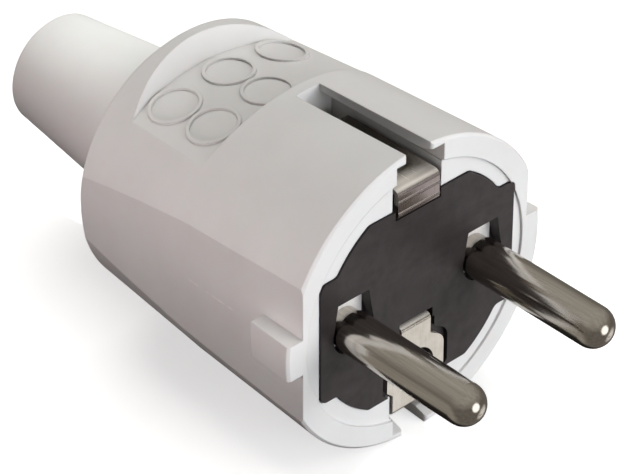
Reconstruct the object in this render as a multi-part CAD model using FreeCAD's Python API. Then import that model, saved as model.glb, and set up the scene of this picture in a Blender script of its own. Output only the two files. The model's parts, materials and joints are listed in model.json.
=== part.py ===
import FreeCAD, Part
import math
import os

# Straight rewirable plug with two round pins and earth contacts at the top and the bottom.
# The plug's axis is Y. The pins point along -Y, the cord leaves along +Y, and Z is up.
# The origin is the centre of the engagement face. All sizes are in millimetres.

# Contact pins, on the spacing that the plug's standard fixes
pin_radius = 2.4
pin_length = 19.0
pin_spacing = 19.0
pin_seat = 1.5
pin_neck_radius = 2.2
spigot_radius = 1.7
spigot_length = 6.0

# Hood, a turned outline along the axis
hood_front_radius = 18.6
hood_knee = 19.0
hood_knee_radius = 17.58
hood_length = 36.6
hood_rear_radius = 16.15
hood_front_chamfer = 0.3
hood_rear_chamfer = 0.5
sleeve_root_radius = 9.35
sleeve_length = 23.0
sleeve_end = hood_length + sleeve_length
sleeve_end_radius = 6.85
sleeve_root_flare = 0.6
sleeve_end_chamfer = 0.4
cord_bore_radius = 4.4

# Shallow step in the hood's face, around the carrier
face_step_radius = 15.9
face_step = 0.3

# Side flats with a little draft, and the round pads that are left on them
flat_front = 16.45
flat_rear = 15.6
pad_length = 6.1
left_pad_top = 2.3
left_pad_bottom = -2.2
right_pad_top = 2.1
right_pad_bottom = -12.0

# Earth grooves: a wide channel with an undercut below two lips
groove_length = 17.0
groove_inner = 10.0
channel_left = 3.55
channel_right = 3.5
channel_step = 15.3
undercut_left = 3.25
undercut_right = 3.6
roof_front = 17.15
roof_rear = 16.7
lead_in_length = 1.6
lead_in_rise = 0.5
slot_half_width = 1.75
lip_round = 0.4

# Grip panels in the top and the bottom of the hood, with round marking lines on top,
# placed by their column across and their row from the rear
panel_front = 18.5
panel_front_slope = 0.25
panel_margin = 3.4
panel_rear = hood_length - panel_margin
panel_rear_slope = 0.6
panel_depth = 2.8
panel_crown_radius = 33.0
panel_low = 9.0
ring_places = ((-1, 0), (0, 0), (1, 0), (-1, 1), (0, 1))
ring_pitch_across = 7.8
ring_margin = 3.7
ring_pitch_along = 6.2
ring_radius = 3.0
ring_line = 0.45
ring_rise = 0.25

# Pin carrier, the insert that fills the hood's front, a little off the middle of the pins
carrier_shift = 0.3
carrier_radius = 14.05
carrier_half_width = 14.1
carrier_band = 7.7
carrier_half_height = 12.05
carrier_corner_round = 0.9
carrier_face = 0.05
carrier_depth = 13.7
carrier_rear = carrier_face + carrier_depth
carrier_clearance = 0.1
window_top = 4.1
window_top_half_width = 2.2
window_radius = 2.9

# Chamber behind the carrier for the wires
chamber_radius = 13.2
chamber_half_height = 11.2
rear_wall = 3.5
chamber_end = hood_length - rear_wall
funnel_radius = 7.0
funnel_length = 2.6

# Terminal blocks that carry the pins
block_half_width = 2.8
block_top = 4.0
block_bottom = -2.4
block_heel = -3.6
block_step = 8.0
block_end = 22.0
block_clearance = 0.05
wire_hole_radius = 1.3
wire_hole_depth = 10.0
wire_hole_level = -0.8
terminal_screw_back = 3.8
terminal_screw_radius = 1.25
terminal_head_radius = 1.9
terminal_head_height = 1.6

# Earth bracket, a strip bent round the carrier
strip_front = 0.0
strip_thickness = 0.6
strip_back = strip_front + strip_thickness
strip_top = 14.55
strip_bottom = -14.9
strip_half_width = 3.0
lower_arm_half_width = 3.3
bend_radius = 0.1
fold_end = 11.25
fold_gap = 0.3
bead_radius = 0.3
bead_proud = 0.1
bead_pitch = 1.45
plate_half_width = 4.2
plate_neck = -6.3
plate_neck_round = 0.3
plate_shoulder = -7.6
plate_shoulder_round = 1.8
plate_waist = -11.3
plate_foot = -12.1
plate_gap = 0.6
tongue_half_width = 2.15
tongue_top = -3.7
tongue_reach = 3.0
tongue_gap = 0.3
tongue_headroom = 0.7

# Fixing screw, through the earth plate into a boss of the hood
fixing_level = -10.2
fixing_plate_hole = 2.7
fixing_head_radius = 2.5
fixing_head_height = 2.0
fixing_head_seat = 3.6
fixing_radius = 1.5
fixing_end = 25.0
boss_radius = 3.0
boss_start = 15.2
boss_end = 27.0

# Earth terminal on the bracket's web
earth_screw_level = 6.5
earth_screw_radius = 1.5
earth_screw_reach = 4.0
earth_head_radius = 2.5
earth_head_height = 2.0
earth_clamp_half = 2.9
earth_clamp_thickness = 1.0

# Cord anchorage on the carrier's tail
tail_half_width = 9.0
tail_top = -4.4
tail_thickness = 2.0
tail_gap = 0.2
tail_end = chamber_end - tail_gap
tail_slot_gap = 0.3
post_inner = 5.6
post_outer = 9.2
post_top = 0.6
clamp_back = 1.1
clamp_length = 4.5
clamp_end = tail_end - clamp_back
clamp_start = clamp_end - clamp_length
cradle_top = -3.0
cradle_inset = 1.2
saddle_thickness = 2.0
saddle_wall = 2.0
saddle_half_width = 9.4
cord_radius = 4.0
saddle_screw_offset = 7.5
saddle_screw_radius = 1.25
saddle_screw_end = -5.5
saddle_head_radius = 1.9
saddle_head_height = 1.6

# Fits and screw slots
hole_clearance = 0.15
press_clearance = 0.02
driver_slot_width = 0.8
driver_slot_depth = 0.7

# Room past a face for a cut, and a length taken as zero
overrun = 1.0
tiny = 1e-6

V = FreeCAD.Vector
ORIGIN = V(0, 0, 0)
AXIS = V(0, 1, 0)
UP = V(0, 0, 1)
ACROSS = V(1, 0, 0)
FAR = 30.0


def front_view(p):
    """A sketch point (across, height) on the face plane."""
    return V(p.x, 0, p.y)


def side_view(p):
    """A sketch point (along, height) on the plane of symmetry."""
    return V(0, p.x, p.y)


def plan_view(p):
    """A sketch point (across, along) on the level plane, also for a half section."""
    return V(p.x, p.y, 0)


def rounded_face(corners, place):
    """Face inside (a, b, radius) corners, with an arc of that radius in each corner."""
    stops = []
    count = len(corners)
    for i, (a, b, radius) in enumerate(corners):
        here = V(a, b, 0)
        back = V(corners[i - 1][0], corners[i - 1][1], 0) - here
        on = V(corners[(i + 1) % count][0], corners[(i + 1) % count][1], 0) - here
        back.normalize()
        on.normalize()
        if radius == 0:
            stops.append((here, None, here))
            continue
        half = back.getAngle(on) / 2
        reach = radius / math.tan(half)
        inward = back + on
        inward.normalize()
        middle = here + inward * (radius / math.sin(half) - radius)
        stops.append((here + back * reach, middle, here + on * reach))
    edges = []
    for (start, middle, end), (following, _, _) in zip(stops, stops[1:] + stops[:1]):
        if middle is not None:
            edges.append(Part.Arc(place(start), place(middle), place(end)).toShape())
        if end.distanceToPoint(following) > tiny:
            edges.append(Part.LineSegment(place(end), place(following)).toShape())
    return Part.Face(Part.Wire(edges))


def prism(corners, start, end):
    """Front-view outline drawn along the axis."""
    face = rounded_face(corners, front_view)
    face.translate(AXIS * start)
    return face.extrude(AXIS * (end - start))


def slab(corners, half_width):
    """Side-view outline drawn across, the same to both sides."""
    face = rounded_face(corners, side_view)
    face.translate(ACROSS * -half_width)
    return face.extrude(ACROSS * (2 * half_width))


def turned(corners):
    """Half section turned about the axis."""
    return rounded_face(corners, plan_view).revolve(ORIGIN, AXIS, 360)


def block(x0, x1, y0, y1, z0, z1):
    """Box between two corners."""
    return Part.makeBox(x1 - x0, y1 - y0, z1 - z0, V(x0, y0, z0))


def rod(radius, start, end):
    """Cylinder from one point to another."""
    run = end - start
    return Part.makeCylinder(radius, run.Length, start, run)


def axial_rod(radius, y0, y1, x=0.0, z=0.0):
    """Cylinder along the plug's axis."""
    return rod(radius, V(x, y0, z), V(x, y1, z))


def mirrored(shape, normal):
    """Mirror image through the origin."""
    return shape.mirror(ORIGIN, normal)


def joined(*shapes):
    """One solid from shapes that overlap or touch."""
    return shapes[0].fuse(list(shapes[1:])).removeSplitter()


def without(shape, *tools):
    """Shape with the tools cut away."""
    return shape.cut(list(tools)).removeSplitter()


def along_axis(edge):
    """True for a straight edge that runs along the plug's axis."""
    if not isinstance(edge.Curve, Part.Line):
        return False
    return abs(edge.Curve.Direction.dot(AXIS)) > 1 - tiny


def screw(head_radius, head_height, shank_radius, seat, way_in, length):
    """Slotted screw whose head rests on seat, with its shank running along way_in."""
    way_out = way_in * -1
    head_top = seat + way_out * head_height
    body = joined(rod(head_radius, seat, head_top), rod(shank_radius, head_top, seat + way_in * length))
    side = way_in.cross(ACROSS)
    if side.Length < tiny:
        side = way_in.cross(UP)
    slot_face = Part.makePolygon([
        head_top + ACROSS * -FAR + side * (-driver_slot_width / 2),
        head_top + ACROSS * FAR + side * (-driver_slot_width / 2),
        head_top + ACROSS * FAR + side * (driver_slot_width / 2),
        head_top + ACROSS * -FAR + side * (driver_slot_width / 2),
        head_top + ACROSS * -FAR + side * (-driver_slot_width / 2),
    ])
    return without(body, Part.Face(slot_face).extrude(way_in * driver_slot_depth))


def hood_radius(y):
    """Radius of the hood's tapered outside at a place along the axis."""
    if y < hood_knee:
        return hood_front_radius + (hood_knee_radius - hood_front_radius) * y / hood_knee
    share = (y - hood_knee) / (hood_length - hood_knee)
    return hood_knee_radius + (hood_rear_radius - hood_knee_radius) * share


def carrier_form(gap, start, end):
    """Carrier outline, grown by gap: a barrel with flats, and two square side bands."""
    barrel = axial_rod(carrier_radius + gap, start, end)
    height = carrier_half_height + gap
    wide = carrier_half_width + gap
    band = carrier_band + gap
    barrel = barrel.common(block(-wide, wide, start, end, -height, height))
    form = joined(barrel, block(-wide, wide, start, end, -band, band))
    corners = [e for e in form.Edges if along_axis(e)]
    return form.makeFillet(carrier_corner_round, corners).translate(ACROSS * carrier_shift)


def earth_groove():
    """Top groove: channel, undercut with a lead-in at the face, and the slot between the lips."""
    channel = block(-channel_left, channel_right, -overrun, groove_length, groove_inner, channel_step)
    undercut = slab([
        (-overrun, channel_step, 0),
        (groove_length, channel_step, 0),
        (groove_length, roof_rear, 0),
        (0, roof_front, 0),
        (-overrun, roof_front, 0),
    ], undercut_half_width())
    lead_in = slab([
        (-lead_in_length, channel_step, 0),
        (lead_in_length, channel_step, 0),
        (lead_in_length, roof_front, 0),
        (-lead_in_length, roof_front + 2 * lead_in_rise, 0),
    ], undercut_half_width())
    for tool in (undercut, lead_in):
        tool.translate(ACROSS * (undercut_right - undercut_half_width()))
    edge = slot_half_width + 2 * lip_round
    plan = rounded_face([
        (-edge, -overrun, 0),
        (-edge, 0, 0),
        (-slot_half_width, 0, lip_round),
        (-slot_half_width, groove_length, 0),
        (slot_half_width, groove_length, 0),
        (slot_half_width, 0, lip_round),
        (edge, 0, 0),
        (edge, -overrun, 0),
    ], plan_view)
    plan.translate(UP * channel_step)
    return joined(channel, undercut, lead_in, plan.extrude(UP * FAR))


def undercut_half_width():
    """Half of the undercut's width, which isn't quite central."""
    return (undercut_left + undercut_right) / 2


def panel_floor(lift):
    """Crowned floor of the top grip panel, as a tilted cylinder; lift raises it."""
    fall = (hood_knee_radius - hood_rear_radius) / (hood_length - hood_knee)
    lengthwise = V(0, 1, -fall)
    lengthwise.normalize()
    upright = V(0, fall, 1)
    upright.normalize()
    crown = V(0, hood_knee, hood_knee_radius - panel_depth)
    start = crown - upright * panel_crown_radius - lengthwise * FAR
    return Part.makeCylinder(panel_crown_radius + lift, 3 * FAR, start, lengthwise)


def panel_recess():
    """Space above the crowned floor, between the panel's sloping end walls."""
    edge = hood_radius(panel_front)
    floor_end = hood_radius(panel_rear) - panel_depth
    outline = [
        (panel_front + panel_front_slope * (edge - panel_low), panel_low, 0),
        (panel_front - panel_front_slope * (FAR - edge), FAR, 0),
        (panel_rear + panel_rear_slope * (FAR - floor_end), FAR, 0),
        (panel_rear - panel_rear_slope * (floor_end - panel_low), panel_low, 0),
    ]
    return slab(outline, FAR).cut(panel_floor(0))


def marking_rings():
    """Raised round lines on the top panel, with nothing inside them."""
    skin = panel_floor(ring_rise).cut(panel_floor(-ring_rise))
    rings = []
    for column, row in ring_places:
        y = panel_rear - ring_margin - row * ring_pitch_along
        foot = V(column * ring_pitch_across, y, panel_low)
        top = foot + UP * FAR
        tube = rod(ring_radius, foot, top).cut(rod(ring_radius - ring_line, foot, top))
        rings.append(tube.common(skin))
    return rings


def side_flats():
    """What the two flats take off the round hood, without the guide pads."""
    wedge = Part.makePolygon([
        V(flat_front, 0, -FAR),
        V(FAR, 0, -FAR),
        V(FAR, hood_length + overrun, -FAR),
        V(flat_rear, hood_length + overrun, -FAR),
        V(flat_front, 0, -FAR),
    ])
    right = Part.Face(wedge).extrude(UP * (2 * FAR))
    left = mirrored(right, ACROSS)
    right_pad = block(0, FAR, 0, pad_length, right_pad_bottom, right_pad_top)
    left_pad = block(-FAR, 0, 0, pad_length, left_pad_bottom, left_pad_top)
    return right.cut(right_pad), left.cut(left_pad)


def make_hood():
    """Hood and bend sleeve, moulded as one."""
    shell = turned([
        (0, 0, 0),
        (hood_front_radius - hood_front_chamfer, 0, 0),
        (hood_front_radius, hood_front_chamfer, 0),
        (hood_knee_radius, hood_knee, 0),
        (hood_rear_radius, hood_length - hood_rear_chamfer, 0),
        (hood_rear_radius - hood_rear_chamfer, hood_length, 0),
        (sleeve_root_radius + sleeve_root_flare, hood_length, 0),
        (sleeve_root_radius, hood_length + sleeve_root_flare, 0),
        (sleeve_end_radius, sleeve_end - sleeve_end_chamfer, 0),
        (sleeve_end_radius - sleeve_end_chamfer, sleeve_end, 0),
        (0, sleeve_end, 0),
    ])
    panel = panel_recess()
    shell = without(shell, *side_flats(), panel, mirrored(panel, UP))
    shell = joined(shell, *marking_rings())
    chamber = axial_rod(chamber_radius, carrier_rear - overrun, chamber_end).common(
        block(-FAR, FAR, 0, chamber_end, -chamber_half_height, chamber_half_height))
    funnel = Part.makeCone(funnel_radius, cord_bore_radius, funnel_length, V(0, chamber_end, 0), AXIS)
    groove = earth_groove()
    shell = without(
        shell,
        axial_rod(face_step_radius, -overrun, face_step),
        carrier_form(carrier_clearance, -overrun, carrier_rear),
        chamber,
        funnel,
        axial_rod(cord_bore_radius, chamber_end - overrun, sleeve_end + overrun),
        groove,
        mirrored(groove, UP),
    )
    boss = axial_rod(boss_radius, boss_start, boss_end, z=fixing_level)
    pilot_radius = fixing_radius + press_clearance
    pilot = axial_rod(pilot_radius, boss_start - overrun, fixing_end + overrun, z=fixing_level)
    return without(joined(shell, boss), pilot)


def strip_ring(half_width):
    """Closed ring of strip, seen from the side, with the carrier's core inside it."""
    outline = ring_outline(0, bend_radius + strip_thickness)
    return slab(outline, half_width).cut(carrier_core(half_width + overrun))


def ring_outline(inset, radius):
    """Rounded side-view outline of the strip, moved inwards by inset."""
    front = strip_front + inset
    rear = carrier_rear + strip_thickness - inset
    return [
        (front, strip_bottom + inset, radius),
        (rear, strip_bottom + inset, radius),
        (rear, strip_top - inset, radius),
        (front, strip_top - inset, radius),
    ]


def carrier_core(half_width):
    """Part of the carrier that the earth strip lies on."""
    return slab(ring_outline(strip_thickness, bend_radius), half_width)


def lower_bend():
    """Level where the lower bend of the strip turns into the flat plate."""
    return strip_bottom + strip_thickness + bend_radius


def plate_outline(gap):
    """Front-view outline of the lower earth plate up to its tongue's bend, grown by gap."""
    wide = plate_half_width + gap
    foot = lower_arm_half_width + gap
    tongue = tongue_half_width + gap
    right = [
        (foot, lower_bend() - gap, 0),
        (foot, plate_foot, 0),
        (wide, plate_waist, 0),
        (wide, plate_shoulder + gap, plate_shoulder_round),
        (tongue, plate_neck + gap, plate_neck_round),
        (tongue, tongue_top - strip_thickness, 0),
    ]
    left = [(-a, b, r) for a, b, r in reversed(right)]
    return right + left


def tongue_bend():
    """End of the plate's tongue, turned back into the carrier."""
    below = tongue_top - strip_thickness
    return slab([
        (strip_front, below, 0),
        (strip_front, tongue_top, strip_thickness),
        (tongue_reach, tongue_top, 0),
        (tongue_reach, below, 0),
    ], tongue_half_width)


def fold_beads():
    """Two ridges pressed across the fold at the top."""
    beads = []
    for row in (1, 2):
        z = strip_top - row * bead_pitch
        centre = V(0, strip_front + bead_radius - bead_proud, z)
        reach = ACROSS * strip_half_width
        beads.append(rod(bead_radius, centre - reach, centre + reach))
    return beads


def make_earth_bracket():
    """One bent strip: upper fold and arm, web, lower arm, and the plate on the carrier's face."""
    below_fold = block(-FAR, FAR, strip_front - overrun, strip_back, -FAR, fold_end)
    loop = strip_ring(strip_half_width).cut(below_fold)
    lower_arm = strip_ring(lower_arm_half_width).common(block(-FAR, FAR, -FAR, FAR, -FAR, lower_bend()))
    plate = prism(plate_outline(0), strip_front, strip_back)
    bracket = joined(loop, lower_arm, plate, tongue_bend(), *fold_beads())
    through_web = (carrier_rear - overrun, carrier_rear + strip_thickness + overrun)
    return without(
        bracket,
        axial_rod(fixing_plate_hole, strip_front - overrun, strip_back + overrun, z=fixing_level),
        axial_rod(fixing_radius + hole_clearance, *through_web, z=fixing_level),
        axial_rod(earth_screw_radius + hole_clearance, *through_web, z=earth_screw_level),
    )


def pin_window():
    """Opening in the carrier's face round a pin on the axis, with room above for the terminal."""
    outline = [
        (-window_radius, 0, 0),
        (window_radius, 0, 0),
        (window_top_half_width, window_top, 0),
        (-window_top_half_width, window_top, 0),
    ]
    start = carrier_face - overrun
    return joined(prism(outline, start, pin_seat), axial_rod(window_radius, start, pin_seat))


def block_form(gap, start, end):
    """Terminal block on the axis, grown by gap, with a heel behind its step."""
    wide = block_half_width + gap
    front = block(-wide, wide, start, block_step, block_bottom - gap, block_top + gap)
    rear = block(-wide, wide, block_step, end, block_heel - gap, block_top + gap)
    return joined(front, rear)


def make_terminal_block():
    """Terminal block on the axis, with its pin socket, wire hole and screw hole."""
    screw_place = block_end - terminal_screw_back
    tapped = terminal_screw_radius + press_clearance
    return without(
        block_form(0, pin_seat, block_end),
        axial_rod(spigot_radius + press_clearance, pin_seat - overrun, pin_seat + spigot_length),
        axial_rod(wire_hole_radius, block_end - wire_hole_depth, block_end + overrun, z=wire_hole_level),
        rod(tapped, V(0, screw_place, wire_hole_level), V(0, screw_place, block_top + overrun)),
    )


def make_terminal_screw():
    """Screw that clamps a wire in the block on the axis."""
    seat = V(0, block_end - terminal_screw_back, block_top)
    reach = block_top - wire_hole_level - wire_hole_radius
    return screw(terminal_head_radius, terminal_head_height, terminal_screw_radius, seat, UP * -1, reach)


def make_pin():
    """Round-nosed contact pin on the axis, with a neck behind the face and a spigot for its block."""
    return turned([
        (0, -pin_length, 0),
        (pin_radius, -pin_length, pin_radius),
        (pin_radius, 0, 0),
        (pin_neck_radius, 0, 0),
        (pin_neck_radius, pin_seat, 0),
        (spigot_radius, pin_seat, 0),
        (spigot_radius, pin_seat + spigot_length, 0),
        (0, pin_seat + spigot_length, 0),
    ])


def make_tail():
    """Shelf behind the carrier, with two posts and a cradle for the cord."""
    underside = tail_top - tail_thickness
    shelf = block(-tail_half_width, tail_half_width, carrier_rear, tail_end, underside, tail_top)
    slot = lower_arm_half_width + tail_slot_gap
    web_slot = block(
        -slot, slot,
        carrier_rear, carrier_rear + strip_thickness + tail_slot_gap,
        -FAR, FAR,
    )
    cradle = block(
        -post_inner, post_inner,
        clamp_start + cradle_inset, clamp_end - cradle_inset,
        tail_top, cradle_top,
    )
    posts = []
    for side in (-1, 1):
        inner, outer = sorted((side * post_inner, side * post_outer))
        posts.append(block(inner, outer, clamp_start, clamp_end, underside, post_top))
    cord = axial_rod(cord_radius, carrier_rear, tail_end + overrun)
    return joined(shelf.cut(web_slot), cradle.cut(cord), *posts)


def make_pin_carrier():
    """Insert with the pin windows, terminal channels, earth lands and the tail."""
    carrier = joined(
        carrier_form(0, carrier_face, carrier_rear),
        carrier_core(strip_half_width),
        make_tail(),
    )
    before_face = carrier_face - overrun
    fold_notch = strip_half_width + fold_gap
    tongue_notch = tongue_half_width + tongue_gap
    earth_hole = (carrier_rear - earth_screw_reach - overrun, carrier_rear + overrun)
    cuts = [
        prism(plate_outline(plate_gap), before_face, strip_back),
        block(-fold_notch, fold_notch, before_face, strip_back, fold_end - fold_gap, FAR),
        block(
            -tongue_notch, tongue_notch,
            before_face, tongue_reach + tongue_gap,
            tongue_top - strip_thickness, tongue_top + tongue_headroom,
        ),
        axial_rod(fixing_head_radius + hole_clearance, before_face, fixing_head_seat, z=fixing_level),
        axial_rod(fixing_radius + hole_clearance, before_face, carrier_rear + overrun, z=fixing_level),
        axial_rod(earth_screw_radius + hole_clearance, *earth_hole, z=earth_screw_level),
    ]
    for side in (-1, 1):
        place = ACROSS * (side * pin_spacing / 2)
        cuts.append(pin_window().translate(place + ACROSS * carrier_shift))
        cuts.append(block_form(block_clearance, pin_seat, carrier_rear + overrun).translate(place))
        cuts.append(saddle_screw_hole(side, saddle_screw_radius + press_clearance, saddle_screw_end))
    return without(carrier, *cuts)


def saddle_place():
    """Middle of the cord clamp along the axis."""
    return (clamp_start + clamp_end) / 2


def saddle_screw_hole(side, radius, bottom):
    """Round hole on a saddle screw's axis, from a level upwards."""
    foot = V(side * saddle_screw_offset, saddle_place(), bottom)
    return rod(radius, foot, foot + UP * FAR)


def make_cord_saddle():
    """Arched bar that presses the cord into its cradle."""
    bar = block(
        -saddle_half_width, saddle_half_width,
        clamp_start, clamp_end,
        post_top, post_top + saddle_thickness,
    )
    arch = axial_rod(cord_radius + saddle_wall, clamp_start, clamp_end)
    arch = arch.common(block(-FAR, FAR, clamp_start, clamp_end, post_top, FAR))
    spot_face = post_top + saddle_thickness
    holes = []
    for side in (-1, 1):
        holes.append(saddle_screw_hole(side, saddle_screw_radius + hole_clearance, post_top - overrun))
        holes.append(saddle_screw_hole(side, saddle_head_radius + hole_clearance, spot_face))
    return without(joined(bar, arch), axial_rod(cord_radius, 0, tail_end), *holes)


def make_saddle_screw(side):
    """One of the two screws that hold the cord saddle."""
    seat = V(side * saddle_screw_offset, saddle_place(), post_top + saddle_thickness)
    reach = post_top + saddle_thickness - saddle_screw_end
    return screw(saddle_head_radius, saddle_head_height, saddle_screw_radius, seat, UP * -1, reach)


def make_fixing_screw():
    """Screw that pulls the carrier into the hood."""
    seat = V(0, fixing_head_seat, fixing_level)
    reach = fixing_end - fixing_head_seat
    return screw(fixing_head_radius, fixing_head_height, fixing_radius, seat, AXIS, reach)


def earth_clamp_face():
    """Where the earth terminal's clamp plate touches the web."""
    return carrier_rear + strip_thickness


def make_earth_wire_clamp():
    """Square plate that presses the earth wire on the web."""
    start = earth_clamp_face()
    plate = block(
        -earth_clamp_half, earth_clamp_half,
        start, start + earth_clamp_thickness,
        earth_screw_level - earth_clamp_half, earth_screw_level + earth_clamp_half,
    )
    hole_end = start + earth_clamp_thickness + overrun
    hole = axial_rod(earth_screw_radius + hole_clearance, start - overrun, hole_end, z=earth_screw_level)
    return without(plate, hole)


def make_earth_terminal_screw():
    """Screw of the earth terminal."""
    seat = V(0, earth_clamp_face() + earth_clamp_thickness, earth_screw_level)
    reach = earth_clamp_thickness + strip_thickness + earth_screw_reach
    return screw(earth_head_radius, earth_head_height, earth_screw_radius, seat, AXIS * -1, reach)


def all_pieces():
    """Every piece of the plug by name."""
    pieces = {
        "hood": make_hood(),
        "pin_carrier": make_pin_carrier(),
        "earth_bracket": make_earth_bracket(),
        "fixing_screw": make_fixing_screw(),
        "earth_wire_clamp": make_earth_wire_clamp(),
        "earth_terminal_screw": make_earth_terminal_screw(),
        "cord_saddle": make_cord_saddle(),
    }
    for name, side in (("left", -1), ("right", 1)):
        place = ACROSS * (side * pin_spacing / 2)
        pieces[name + "_pin"] = make_pin().translate(place)
        pieces[name + "_terminal_block"] = make_terminal_block().translate(place)
        pieces[name + "_terminal_screw"] = make_terminal_screw().translate(place)
        pieces[name + "_saddle_screw"] = make_saddle_screw(side)
    return pieces


def main():
    os.makedirs("parts", exist_ok=True)
    for name, shape in all_pieces().items():
        print(name, len(shape.Solids), "solid", shape.isValid(), round(shape.Volume, 2), "mm3")
        shape.exportStep("parts/" + name + ".step")


main()
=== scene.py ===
"""Looks of a straight rewirable mains plug: moulded plastic, plated pins and pressed earth strip."""
import json
import math

import bpy
from mathutils import Matrix, Vector


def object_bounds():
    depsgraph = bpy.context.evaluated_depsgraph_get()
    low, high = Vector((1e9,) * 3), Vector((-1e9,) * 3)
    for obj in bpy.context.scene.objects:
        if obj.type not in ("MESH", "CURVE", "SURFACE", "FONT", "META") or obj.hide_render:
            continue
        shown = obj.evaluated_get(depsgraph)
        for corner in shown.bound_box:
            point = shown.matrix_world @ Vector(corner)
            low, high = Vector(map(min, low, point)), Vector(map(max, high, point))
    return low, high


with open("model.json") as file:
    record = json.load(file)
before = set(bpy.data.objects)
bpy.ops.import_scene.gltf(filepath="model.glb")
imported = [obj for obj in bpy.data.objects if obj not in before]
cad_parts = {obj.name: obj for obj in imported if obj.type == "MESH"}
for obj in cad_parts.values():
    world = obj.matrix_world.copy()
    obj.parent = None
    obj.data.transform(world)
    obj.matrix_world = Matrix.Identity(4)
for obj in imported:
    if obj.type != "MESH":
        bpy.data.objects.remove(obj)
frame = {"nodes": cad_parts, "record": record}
CAD_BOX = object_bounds()
NODES = frame["nodes"]

MM = 0.001

# Camera of the photograph: its direction, distance, and where the face's centre lands in the picture
PHOTO_WIDTH = 640
PHOTO_HEIGHT = 474
CAMERA_AZIMUTH = -43.08
CAMERA_ELEVATION = 36.02
CAMERA_ROLL = 0.07
CAMERA_DISTANCE = 391 * MM
FOCAL_PIXELS = 3696.0
FACE_PIXEL = (417.02, 293.57)
SENSOR_WIDTH = 36.0
CLIP_SHARE = 0.01

# Floor
FLOOR_HALF = 3.0
FLOOR_COLOUR = (0.93, 0.93, 0.93)
FLOOR_PALE = (0.9393, 0.9393, 0.9393)
FLOOR_GLOW = 0.60

# Painted shade in the hood's inner corners and deep in its grooves, darker by how closed in the surface is
OCCLUSION_RAYS = 8
CREVICE_REACH = 1.2 * MM
CREVICE_DEPTHS = (0.40, 0.90)
CREVICE_SHARE = 0.2
CREVICE_PAINTED_SHADE = (0.40, 0.375, 0.36)
GROOVE_REACH = 12 * MM
GROOVE_DEPTHS = (0.04, 0.36)
GROOVE_PAINTED_SHADE = (0.52, 0.50, 0.48)

# Parting line of the mould, in millimetres: its height, half its width, and where it shows on the
# left flat. The breaks are levels of a pattern, and the facing range is a part of the surface normal.
SEAM_LEVEL = 0.0
SEAM_REACH = 0.10
SEAM_START = (10.0, 11.5)
SEAM_STOP = (17.5, 19.0)
SEAM_BREAKS = (0.4, 0.6)
SEAM_FACING = (-0.999, -0.996)
SEAM_COLOUR = (0.99, 0.98, 0.97)

# Earth strip, in millimetres: heights where the painted dark reflection on its fold starts, how far back
# the painted highlight on its top reaches, and where painted shade under the lips starts. The facing
# ranges are parts of the surface normal.
FRONT_FACING = (-0.9, -0.5)
UP_FACING = (0.5, 0.9)
FOLD_LEVELS = (10.9, 11.2)
SHEEN_REACH = (1.3, 2.8)
STRIP_SHADE_REACH = (2.8, 6.5)
FOLD_PAINTED_REFLECTION = (0.34, 0.295, 0.29)
PAINTED_SHEEN_PLATE = (0.80, 0.755, 0.69)
STRIP_PAINTED_SHADE = (0.24, 0.22, 0.20)
SHEEN_METALLIC = 0.3

# Softboxes for the dull surfaces: direction from the plug, power, and colour
LIGHT_DISTANCE = 0.70
LIGHT_SIZE = (0.50, 0.50)
LIGHTS = {
    "front": {"azimuth": 4, "elevation": 3, "power": 5.6, "colour": (0.94, 0.97, 1.0)},
    "right": {"azimuth": 40, "elevation": 22, "power": 2.15, "colour": (1.0, 0.97, 0.95)},
    "high": {"azimuth": 20, "elevation": 55, "power": 0.70, "colour": (0.98, 1.0, 1.0)},
    "rear": {"azimuth": 163, "elevation": 60, "power": 2.5, "colour": (1.0, 0.98, 0.93)},
}

# Long strip light beside the left flat, close enough to fade towards the floor
STRIP_AZIMUTH = -90
STRIP_ELEVATION = 2
STRIP_AIM = Vector((0, 26 * MM, 8 * MM))
STRIP_DISTANCE = 0.06
STRIP_SIZE = (0.12, 0.012)
STRIP_SPREAD = 90
STRIP_POWER = 0.0077
STRIP_COLOUR = (1.0, 0.89, 0.88)

# Narrow spot on the cord sleeve
SPOT_AZIMUTH = 100
SPOT_ELEVATION = 60
SPOT_AIM = Vector((0, 52 * MM, 4 * MM))
SPOT_DISTANCE = 0.60
SPOT_ANGLE = 3.0
SPOT_RADIUS = 4 * MM
SPOT_POWER = 7.2
SPOT_COLOUR = (0.94, 1.0, 0.98)

# Studio round the plug, as metal mirrors it: walls up to a paler ceiling, then patches of the table
# and a window, each with its direction, the cosines where it starts and is full, and its colour
WALL_COLOUR = (0.18, 0.167, 0.15)
CEILING_COLOUR = (0.43, 0.41, 0.375)
CEILING_RANGE = (0.05, 0.70)
STUDIO_PATCHES = {
    "left": {"towards": (-0.60, 0.55, -0.58), "edge": (0.70, 0.92), "colour": (0.35, 0.325, 0.29)},
    "under_plug": {"towards": (0.08, 0.59, -0.80), "edge": (0.80, 0.90), "colour": (0.02, 0.018, 0.016)},
    "front": {"towards": (0.66, -0.48, -0.58), "edge": (0.92, 0.985), "colour": (1.0, 0.97, 0.94)},
    "window": {"towards": (0.25, -0.965, 0.03), "edge": (0.93, 0.96), "colour": (2.1, 2.08, 2.05)},
}
AMBIENT_SHARE = 0.02


def direction(azimuth, elevation):
    """Unit vector from the plug, with azimuth 0 in front of the pins and 90 at the right."""
    a = math.radians(azimuth)
    e = math.radians(elevation)
    return Vector((math.sin(a) * math.cos(e), -math.cos(a) * math.cos(e), math.sin(e)))


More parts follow.
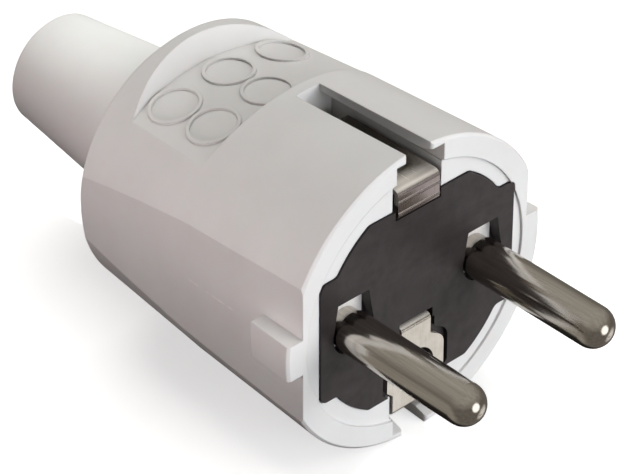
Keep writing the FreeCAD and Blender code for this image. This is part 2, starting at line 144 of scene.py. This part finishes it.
class Nodes:
    """Short way to build the node tree of a material or a world."""

    def __init__(self, owner):
        owner.use_nodes = True
        self.owner = owner
        self.tree = owner.node_tree
        self.shader = self.tree.nodes.get("Principled BSDF")

    def add(self, kind, **settings):
        """New node; settings that name an input socket set it, the others are node properties."""
        node = self.tree.nodes.new(kind)
        for key, value in settings.items():
            if key in node.inputs:
                node.inputs[key].default_value = value
            else:
                setattr(node, key, value)
        return node

    def link(self, output, target):
        """Connects an output to an input."""
        self.tree.links.new(output, target)

    def place(self, scale=(1, 1, 1)):
        """Object position of the surface, scaled per axis, in millimetres."""
        position = self.add("ShaderNodeTexCoord").outputs["Object"]
        mapping = self.add("ShaderNodeMapping")
        mapping.inputs["Scale"].default_value = [s / MM for s in scale]
        self.link(position, mapping.inputs["Vector"])
        return mapping.outputs["Vector"]

    def noise(self, where, scale, detail=2.0, roughness=0.5):
        """Cloudy pattern; scale counts its cells per millimetre."""
        node = self.add("ShaderNodeTexNoise", Scale=scale, Detail=detail, Roughness=roughness)
        self.link(where, node.inputs["Vector"])
        return node.outputs["Fac"]

    def spread(self, value, low, high, start=0.3, stop=0.7):
        """Value stretched so that start to stop becomes low to high."""
        node = self.add("ShaderNodeMapRange")
        node.inputs["From Min"].default_value = start
        node.inputs["From Max"].default_value = stop
        node.inputs["To Min"].default_value = low
        node.inputs["To Max"].default_value = high
        self.link(value, node.inputs["Value"])
        return node.outputs["Result"]

    def hollow(self, reach, low, high, start, stop):
        """Value by how far the surface is closed in by what lies within reach."""
        node = self.add("ShaderNodeAmbientOcclusion", Distance=reach, samples=OCCLUSION_RAYS)
        return self.spread(node.outputs["AO"], low, high, start, stop)

    def axes(self, vector):
        """The three parts of a vector."""
        node = self.add("ShaderNodeSeparateXYZ")
        self.link(vector, node.inputs["Vector"])
        return [node.outputs[axis] for axis in "XYZ"]

    def product(self, first, second):
        """Two values multiplied."""
        node = self.add("ShaderNodeMath", operation="MULTIPLY")
        self.link(first, node.inputs[0])
        self.link(second, node.inputs[1])
        return node.outputs["Value"]

    def at_level(self, value, level, reach):
        """One where value is within reach of a level, and else zero."""
        node = self.add("ShaderNodeMath", operation="COMPARE")
        self.link(value, node.inputs[0])
        node.inputs[1].default_value = level
        node.inputs[2].default_value = reach
        return node.outputs["Value"]

    def blend(self, value, first, second):
        """Colour between two, by value; the first may come from a node."""
        node = self.add("ShaderNodeMix", data_type="RGBA")
        colours = [s for s in node.inputs if s.type == "RGBA"]
        if isinstance(first, bpy.types.NodeSocket):
            self.link(first, colours[0])
        else:
            colours[0].default_value = (*first, 1)
        colours[1].default_value = (*second, 1)
        self.link(value, node.inputs["Factor"])
        return next(s for s in node.outputs if s.type == "RGBA")

    def bump(self, height, distance, strength=1.0, under=None):
        """Surface relief from height, distance deep in metres."""
        node = self.add("ShaderNodeBump", Strength=strength, Distance=distance)
        self.link(height, node.inputs["Height"])
        if under is not None:
            self.link(under, node.inputs["Normal"])
        return node.outputs["Normal"]

    def finish(self, colour=None, roughness=None, normal=None, **constants):
        """Connects the shader's main inputs and sets its constants."""
        for socket, value in (("Base Color", colour), ("Roughness", roughness), ("Normal", normal)):
            if value is not None:
                self.link(value, self.shader.inputs[socket])
        for socket, value in constants.items():
            self.shader.inputs[socket.replace("_", " ")].default_value = value
        return self.owner


def hood_plastic():
    """White moulded thermoplastic: fine spark-eroded grain, faint cloudiness, painted shade in its corners
    and grooves.
    """
    shade, white = (0.80, 0.79, 0.785), (0.84, 0.835, 0.83)
    n = Nodes(bpy.data.materials.new("white_moulded_plastic"))
    where = n.place()
    cloud = n.noise(where, scale=0.12, detail=3.0)
    grain = n.noise(where, scale=5.0, detail=3.0)
    _, along, height = n.axes(where)
    facing, _, _ = n.axes(n.add("ShaderNodeNewGeometry").outputs["Normal"])
    span = n.product(n.spread(along, 0, 1, *SEAM_START), n.spread(along, 1, 0, *SEAM_STOP))
    line = n.product(n.at_level(height, SEAM_LEVEL, SEAM_REACH), n.spread(facing, 1, 0, *SEAM_FACING))
    seam = n.product(n.product(span, line), n.spread(n.noise(where, scale=1.1), 0, 1, *SEAM_BREAKS))
    # Painted shade: the colour darkens in tight corners and deep grooves, by how closed in the surface is
    crevice_shade = n.hollow(CREVICE_REACH, CREVICE_SHARE, 0, *CREVICE_DEPTHS)
    deep = n.hollow(GROOVE_REACH, 1, 0, *GROOVE_DEPTHS)
    colour = n.blend(n.spread(cloud, 0, 1), shade, white)
    colour = n.blend(seam, colour, SEAM_COLOUR)
    colour = n.blend(crevice_shade, colour, CREVICE_PAINTED_SHADE)
    colour = n.blend(deep, colour, GROOVE_PAINTED_SHADE)
    gloss = n.spread(n.noise(where, scale=0.4), low=0.36, high=0.46)
    edges = n.add("ShaderNodeBevel", Radius=0.2 * MM).outputs["Normal"]
    relief = n.bump(grain, distance=0.012 * MM, strength=0.5, under=edges)
    return n.finish(colour, gloss, relief, Specular_IOR_Level=0.42, Subsurface_Weight=0.05,
                    Subsurface_Scale=0.6 * MM)


def carrier_plastic():
    """Dark brown thermoset: satin, with faint mottling."""
    dark, brown = (0.024, 0.020, 0.021), (0.040, 0.033, 0.034)
    n = Nodes(bpy.data.materials.new("dark_thermoset"))
    where = n.place()
    mottle = n.noise(where, scale=0.35, detail=5.0, roughness=0.6)
    colour = n.blend(n.spread(mottle, 0, 1), dark, brown)
    gloss = n.spread(n.noise(where, scale=0.8, detail=4.0), low=0.38, high=0.52)
    pores = n.noise(where, scale=3.0, detail=3.0)
    return n.finish(colour, gloss, n.bump(pores, distance=0.02 * MM, strength=0.5), Specular_IOR_Level=0.3)


def plated_pin():
    """Nickel plate on turned brass: rings from the lathe and light rubbing along the pin."""
    dull, bright = (0.48, 0.445, 0.395), (0.64, 0.605, 0.55)
    across_turning, along_rubbing = (0.15, 14.0, 0.15), (3.0, 0.10, 3.0)
    n = Nodes(bpy.data.materials.new("nickel_plated_pin"))
    rings = n.noise(n.place(across_turning), scale=1.0, detail=2.0)
    rubbing = n.noise(n.place(along_rubbing), scale=1.0, detail=4.0, roughness=0.65)
    colour = n.blend(n.spread(rubbing, 0, 1), dull, bright)
    gloss = n.spread(rubbing, low=0.10, high=0.19)
    return n.finish(colour, gloss, n.bump(rings, distance=0.004 * MM, strength=0.6), Metallic=1.0)


def plated_strip():
    """Nickel plate on pressed strip: rolling lines, painted reflection on the fold, painted light and
    shade on top.
    """
    stained, clean = (0.60, 0.565, 0.51), (0.72, 0.69, 0.64)
    along_rolling = (6.0, 0.2, 0.2)
    n = Nodes(bpy.data.materials.new("nickel_plated_strip"))
    where = n.place()
    rolling = n.noise(n.place(along_rolling), scale=1.0, detail=3.0)
    stain = n.noise(where, scale=0.5, detail=4.0)
    _, along, height = n.axes(where)
    _, facing, upward = n.axes(n.add("ShaderNodeNewGeometry").outputs["Normal"])
    front = n.spread(facing, 1, 0, *FRONT_FACING)
    top = n.spread(upward, 0, 1, *UP_FACING)
    # Painted dark reflection on the front face of the fold
    fold = n.product(n.spread(height, 0, 1, *FOLD_LEVELS), front)
    # Painted highlight: the front of the strip's top is paler and less metallic
    sheen = n.product(n.spread(along, 1, 0, *SHEEN_REACH), top)
    # Painted shade: the strip's top is darker further back, under the lips
    dull = n.product(n.spread(along, 0, 1, *STRIP_SHADE_REACH), top)
    colour = n.blend(n.spread(stain, 0, 1), stained, clean)
    colour = n.blend(fold, colour, FOLD_PAINTED_REFLECTION)
    colour = n.blend(dull, colour, STRIP_PAINTED_SHADE)
    colour = n.blend(sheen, colour, PAINTED_SHEEN_PLATE)
    # Less metallic where the painted highlight lies
    n.link(n.spread(sheen, 1, SHEEN_METALLIC, 0, 1), n.shader.inputs["Metallic"])
    gloss = n.spread(rolling, low=0.16, high=0.28)
    return n.finish(colour, gloss, n.bump(rolling, distance=0.006 * MM, strength=0.6))


def block_metal():
    """Nickel plate on drawn brass blocks, dull enough to look pale."""
    grey, pale = (0.84, 0.81, 0.79), (0.92, 0.90, 0.88)
    along_drawing = (2.5, 0.2, 2.5)
    n = Nodes(bpy.data.materials.new("nickel_plated_block"))
    drawn = n.noise(n.place(along_drawing), scale=1.0, detail=3.0)
    colour = n.blend(n.spread(drawn, 0, 1), grey, pale)
    gloss = n.spread(drawn, low=0.30, high=0.42)
    return n.finish(colour, gloss, n.bump(drawn, distance=0.005 * MM, strength=0.5), Metallic=0.2)


def screw_steel():
    """Zinc-plated steel screws."""
    dark, bright = (0.47, 0.46, 0.44), (0.60, 0.59, 0.57)
    n = Nodes(bpy.data.materials.new("zinc_plated_steel"))
    spots = n.noise(n.place(), scale=2.2, detail=4.0)
    colour = n.blend(n.spread(spots, 0, 1), dark, bright)
    gloss = n.spread(spots, low=0.28, high=0.44)
    return n.finish(colour, gloss, n.bump(spots, distance=0.006 * MM, strength=0.5), Metallic=1.0)


def floor_paper():
    """White paper sweep with a trace of grain."""
    n = Nodes(bpy.data.materials.new("white_paper"))
    grain = n.noise(n.place(), scale=0.25, detail=2.0)
    colour = n.blend(n.spread(grain, 0, 1), FLOOR_COLOUR, FLOOR_PALE)
    n.link(colour, n.shader.inputs["Emission Color"])
    return n.finish(colour, n.spread(grain, low=0.88, high=0.95), Specular_IOR_Level=0.1,
                    Emission_Strength=FLOOR_GLOW)


FINISHES = {
    "hood": hood_plastic(),
    "carrier": carrier_plastic(),
    "pin": plated_pin(),
    "terminal": block_metal(),
    "earth": plated_strip(),
    "screw": screw_steel(),
}
FINISHES["saddle"] = FINISHES["carrier"]


def dress_nodes():
    """Each CAD piece gets the finish of its slot in the record."""
    for part in frame["record"]["subparts"]:
        piece = NODES[part["node"]]
        piece.data.materials.clear()
        piece.data.materials.append(FINISHES[part["material_slot"]])


def make_floor():
    """Level sheet that the plug lies on."""
    level = CAD_BOX[0].z
    corners = [(-FLOOR_HALF, -FLOOR_HALF), (FLOOR_HALF, -FLOOR_HALF), (FLOOR_HALF, FLOOR_HALF),
               (-FLOOR_HALF, FLOOR_HALF)]
    mesh = bpy.data.meshes.new("floor")
    mesh.from_pydata([(x, y, level) for x, y in corners], [], [(0, 1, 2, 3)])
    floor = bpy.data.objects.new("floor", mesh)
    mesh.materials.append(floor_paper())
    bpy.context.scene.collection.objects.link(floor)
    floor.visible_diffuse = False
    floor.visible_glossy = False


def place_light(lamp, aim, away, distance):
    """Lamp in the scene, facing its aim; metal mirrors the studio and not the lamps."""
    box = bpy.data.objects.new(lamp.name, lamp)
    box.location = aim + away * distance
    box.rotation_euler = away.to_track_quat("Z", "Y").to_euler()
    box.visible_glossy = False
    box.visible_camera = False
    bpy.context.scene.collection.objects.link(box)


def area_light(name, size, power, colour):
    """Rectangular lamp."""
    lamp = bpy.data.lights.new(name, "AREA")
    lamp.shape = "RECTANGLE"
    lamp.size, lamp.size_y = size
    lamp.energy = power
    lamp.color = colour
    return lamp


def make_lights():
    """Softboxes that face the plug, a strip beside it, and a spot on its sleeve."""
    for name, s in LIGHTS.items():
        lamp = area_light(name + "_softbox", LIGHT_SIZE, s["power"], s["colour"])
        place_light(lamp, Vector(), direction(s["azimuth"], s["elevation"]), LIGHT_DISTANCE)
    strip = area_light("left_strip", STRIP_SIZE, STRIP_POWER, STRIP_COLOUR)
    strip.spread = math.radians(STRIP_SPREAD)
    place_light(strip, STRIP_AIM, direction(STRIP_AZIMUTH, STRIP_ELEVATION), STRIP_DISTANCE)
    spot = bpy.data.lights.new("sleeve_spot", "SPOT")
    spot.spot_size = math.radians(SPOT_ANGLE)
    spot.spot_blend = 1.0
    spot.shadow_soft_size = SPOT_RADIUS
    spot.energy = SPOT_POWER
    spot.color = SPOT_COLOUR
    place_light(spot, SPOT_AIM, direction(SPOT_AZIMUTH, SPOT_ELEVATION), SPOT_DISTANCE)


def make_studio():
    """Surroundings that metal mirrors; dull surfaces get a share of their light."""
    n = Nodes(bpy.data.worlds.new("studio"))
    view = n.add("ShaderNodeTexCoord").outputs["Generated"]
    _, _, height = n.axes(view)
    colour = n.blend(n.spread(height, 0, 1, *CEILING_RANGE), WALL_COLOUR, CEILING_COLOUR)
    for patch in STUDIO_PATCHES.values():
        near = n.add("ShaderNodeVectorMath", operation="DOT_PRODUCT")
        near.inputs[1].default_value = Vector(patch["towards"]).normalized()
        n.link(view, near.inputs[0])
        colour = n.blend(n.spread(near.outputs["Value"], 0, 1, *patch["edge"]), colour, patch["colour"])
    mirrored = n.add("ShaderNodeLightPath").outputs["Is Glossy Ray"]
    background = n.tree.nodes["Background"]
    n.link(colour, background.inputs["Color"])
    n.link(n.spread(mirrored, AMBIENT_SHARE, 1, 0, 1), background.inputs["Strength"])
    bpy.context.scene.world = n.owner


def make_camera():
    """Camera of the photograph, aimed so that the face's centre lands on its pixel."""
    back = direction(CAMERA_AZIMUTH, CAMERA_ELEVATION)
    level = Vector((math.cos(math.radians(CAMERA_AZIMUTH)), math.sin(math.radians(CAMERA_AZIMUTH)), 0))
    roll = math.radians(CAMERA_ROLL)
    right = level * math.cos(roll) + back.cross(level) * math.sin(roll)
    up = back.cross(right)
    across = (FACE_PIXEL[0] - PHOTO_WIDTH / 2) / FOCAL_PIXELS
    rise = -(FACE_PIXEL[1] - PHOTO_HEIGHT / 2) / FOCAL_PIXELS
    place = (back - right * across - up * rise) * CAMERA_DISTANCE
    lens = bpy.data.cameras.new("camera")
    lens.sensor_width = SENSOR_WIDTH
    lens.lens = FOCAL_PIXELS * SENSOR_WIDTH / PHOTO_WIDTH
    lens.clip_start = CAMERA_DISTANCE * CLIP_SHARE
    camera = bpy.data.objects.new("camera", lens)
    camera.matrix_world = Matrix.Translation(place) @ Matrix((right, up, back)).transposed().to_4x4()
    bpy.context.scene.collection.objects.link(camera)
    bpy.context.scene.camera = camera


dress_nodes()
make_floor()
make_lights()
make_studio()
make_camera()
bpy.context.scene.view_settings.view_transform = "Standard"
